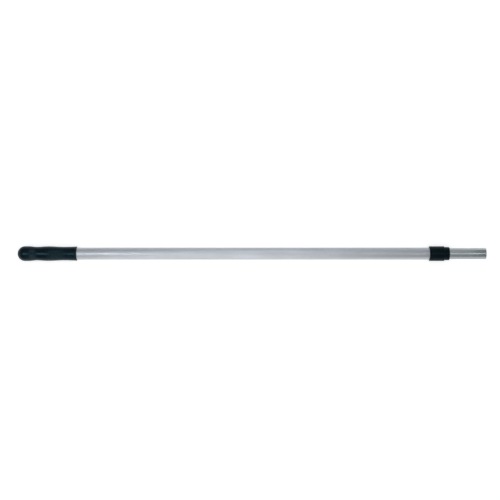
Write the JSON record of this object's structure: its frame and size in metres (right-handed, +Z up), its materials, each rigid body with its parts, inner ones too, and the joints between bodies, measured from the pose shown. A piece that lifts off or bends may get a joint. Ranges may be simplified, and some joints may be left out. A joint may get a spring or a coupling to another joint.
{
  "type": "roller extension pole",
  "caption": "Two-section telescopic extension pole for a paint roller, with a soft waisted grip, a guide collar, an internal twist lock and a push-fit tip.",
  "frame": {"origin": "under the middle of the closed pole's length, on the surface it lies on", "axes": "+X along the pole from the grip to the tip, +Z up, the button hole near the tip faces +Y"},
  "size_m": [1.1, 0.035, 0.035],
  "materials": {
    "satin_tube": "satin anodised, fine lengthwise drawn lines",
    "bright_tube": "bright drawn aluminium, slightly scuffed from sliding",
    "soft_grip": "black soft moulding with a dull sheen",
    "collar_plastic": "black moulded plastic, fine spark-eroded texture",
    "tip_plastic": "grey moulded plastic",
    "slide_plastic": "natural acetal, smooth",
    "inner_plastic": "black glass-filled nylon",
    "zinc_steel": "bright zinc plate",
    "nut_brass": "machined brass"
  },
  "bodies": {
    "outer_section": {"outer_tube": "satin_tube", "hand_grip": "soft_grip", "tube_end_plug": "inner_plastic", "guide_collar": "collar_plastic", "collar_bush": "slide_plastic"},
    "expander": {"expander_sleeve": "slide_plastic"},
    "cone_nut_body": {"cone_nut": "inner_plastic", "captive_nut": "nut_brass"},
    "inner_section": {"inner_tube": "bright_tube", "tip_plug": "tip_plastic", "spindle_carrier": "inner_plastic", "carrier_pin": "zinc_steel", "lock_spindle": "zinc_steel", "stop_washer": "zinc_steel", "retaining_nut": "zinc_steel"}
  },
  "joints": [
    {"name": "pole_extension", "type": "slide", "parent": "outer_section", "child": "expander", "axis": [1, 0, 0], "range_m": [0, 0.9]},
    {"name": "twist_lock", "type": "hinge", "parent": "expander", "child": "inner_section", "pos_m": [0, 0, 0.0175], "axis": [1, 0, 0], "range_deg": [0, 270]},
    {"name": "cone_travel", "type": "slide", "parent": "expander", "child": "cone_nut_body", "axis": [1, 0, 0], "range_m": [-0.00095, 0]}
  ],
  "couplings": [
    {"joint": "cone_travel", "follows": "twist_lock", "m_per_rad": -0.00019894}
  ]
}
